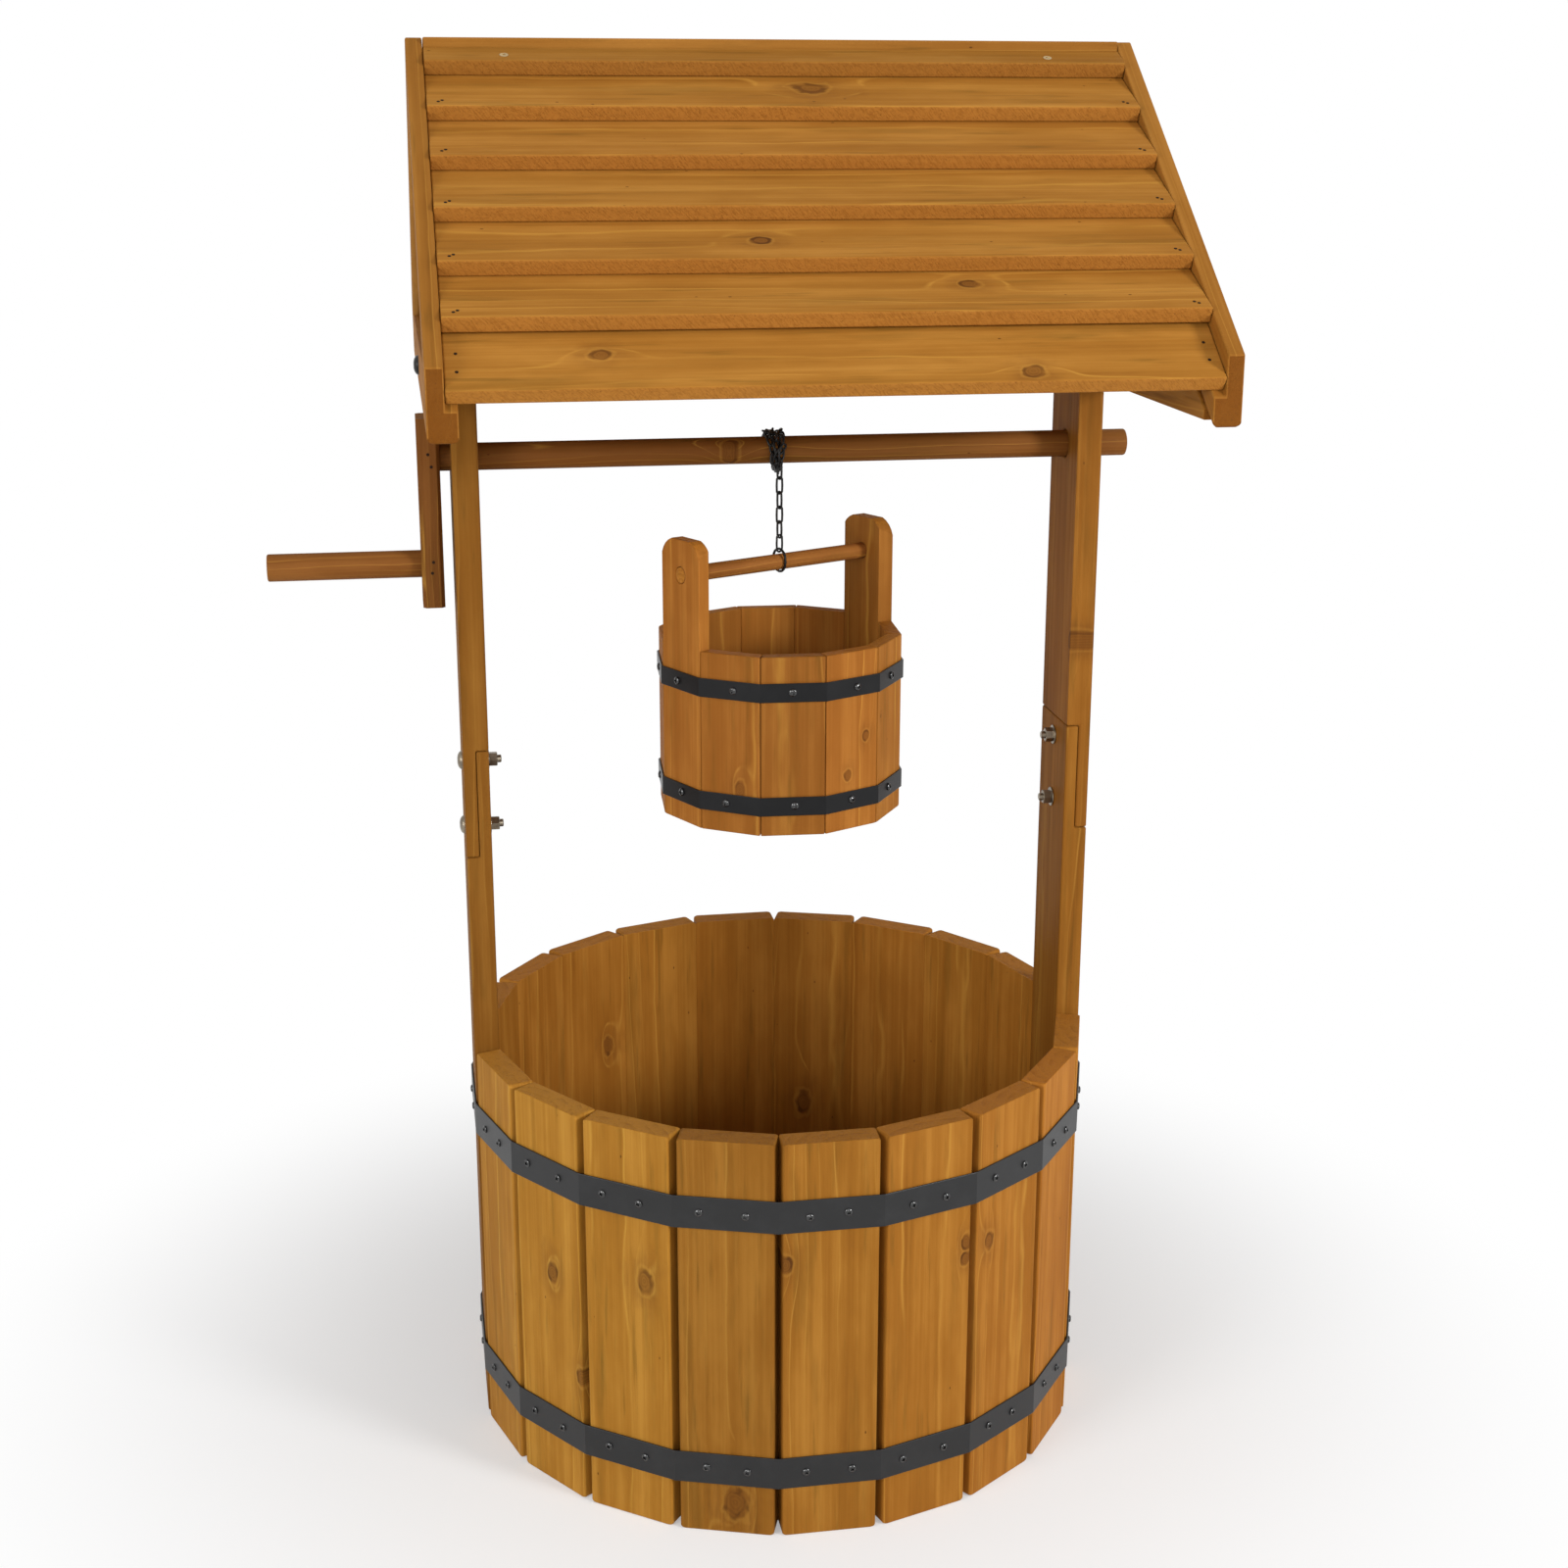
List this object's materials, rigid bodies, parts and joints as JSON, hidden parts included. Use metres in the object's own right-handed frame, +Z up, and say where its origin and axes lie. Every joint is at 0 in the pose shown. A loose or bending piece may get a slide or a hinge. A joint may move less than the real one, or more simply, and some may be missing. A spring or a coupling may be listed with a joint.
{
  "type": "wishing well planter",
  "caption": "Barrel planter of upright boards with steel bands, half-lapped posts, a lapped-board gable roof, and a cranked windlass that lifts a small coopered bucket on a chain.",
  "frame": {"origin": "on the barrel's axis, on the flat underside of the barrel floor, which stands on the ground", "axes": "+Z up, X along the windlass axle with the crank towards -X, -Y towards the front that the picture shows"},
  "size_m": [0.6448, 0.537, 1.0574],
  "materials": {
    "stained_fir": "honey-orange stain, satin",
    "roof_fir": "honey-orange stain, satin",
    "shaded_fir": "darker stain, matte",
    "dowel": "honey-orange stain, satin",
    "black_steel": "black paint, satin",
    "chain_steel": "black coating, satin"
  },
  "bodies": {
    "planter": {"barrel_board_01": "stained_fir", "barrel_board_02": "stained_fir", "barrel_board_03": "stained_fir", "barrel_board_04": "stained_fir", "barrel_board_05": "stained_fir", "barrel_board_06": "stained_fir", "barrel_board_07": "stained_fir", "barrel_board_08": "stained_fir", "barrel_board_09": "stained_fir", "barrel_board_11": "stained_fir", "barrel_board_12": "stained_fir", "barrel_board_13": "stained_fir", "barrel_board_14": "stained_fir", "barrel_board_15": "stained_fir", "barrel_board_16": "stained_fir", "barrel_board_17": "stained_fir", "barrel_board_18": "stained_fir", "barrel_board_19": "stained_fir", "barrel_band_lower": "black_steel", "barrel_band_upper": "black_steel", "barrel_floor": "shaded_fir", "post_lower_right": "stained_fir", "post_upper_right": "stained_fir", "post_lower_left": "stained_fir", "post_upper_left": "stained_fir", "rafter_left_front": "roof_fir", "rafter_left_rear": "roof_fir", "gable_tie_left": "shaded_fir", "rafter_right_front": "roof_fir", "rafter_right_rear": "roof_fir", "gable_tie_right": "shaded_fir", "roof_eave_board_front": "roof_fir", "roof_board_front_1": "roof_fir", "roof_board_front_2": "roof_fir", "roof_board_front_3": "roof_fir", "roof_board_front_4": "roof_fir", "roof_board_front_5": "roof_fir", "roof_eave_board_rear": "roof_fir", "roof_board_rear_1": "roof_fir", "roof_board_rear_2": "roof_fir", "roof_board_rear_3": "roof_fir", "roof_board_rear_4": "roof_fir", "roof_board_rear_5": "roof_fir", "ridge_cap_front": "roof_fir", "ridge_cap_rear": "roof_fir", "chain_hanging": "chain_steel"},
    "windlass": {"windlass_axle": "dowel", "crank_handle": "dowel", "crank_arm": "dowel", "chain_wound": "chain_steel"},
    "chain_end": {"chain_end_link": "chain_steel"},
    "handle_loop": {"chain_loop": "chain_steel"},
    "bucket": {"bucket_tall_stave_right": "stained_fir", "bucket_tall_stave_left": "stained_fir", "bucket_staves_rear": "stained_fir", "bucket_staves_front": "stained_fir", "bucket_floor": "shaded_fir", "bucket_handle": "dowel", "bucket_band_lower": "black_steel", "bucket_band_upper": "black_steel"}
  },
  "joints": [
    {"name": "crank_turn", "type": "hinge", "parent": "planter", "child": "windlass", "pos_m": [0, 0, 0.7665], "axis": [-1, 0, 0], "range_deg": [-104, 104]},
    {"name": "bucket_lift", "type": "slide", "parent": "planter", "child": "chain_end", "axis": [0, 0, 1], "range_m": [-0.0245, 0.0245], "deforming": ["chain_hanging"]},
    {"name": "bucket_spin", "type": "hinge", "parent": "chain_end", "child": "handle_loop", "pos_m": [0, -0.0134, 0.6955], "axis": [0, 0, 1], "range_deg": [-40, 40]},
    {"name": "bucket_tilt", "type": "hinge", "parent": "handle_loop", "child": "bucket", "pos_m": [0, -0.0134, 0.6845], "axis": [0.891, 0.454, 0], "range_deg": [-45, 45]}
  ],
  "couplings": [
    {"joint": "bucket_lift", "follows": "crank_turn", "m_per_rad": 0.0134}
  ]
}
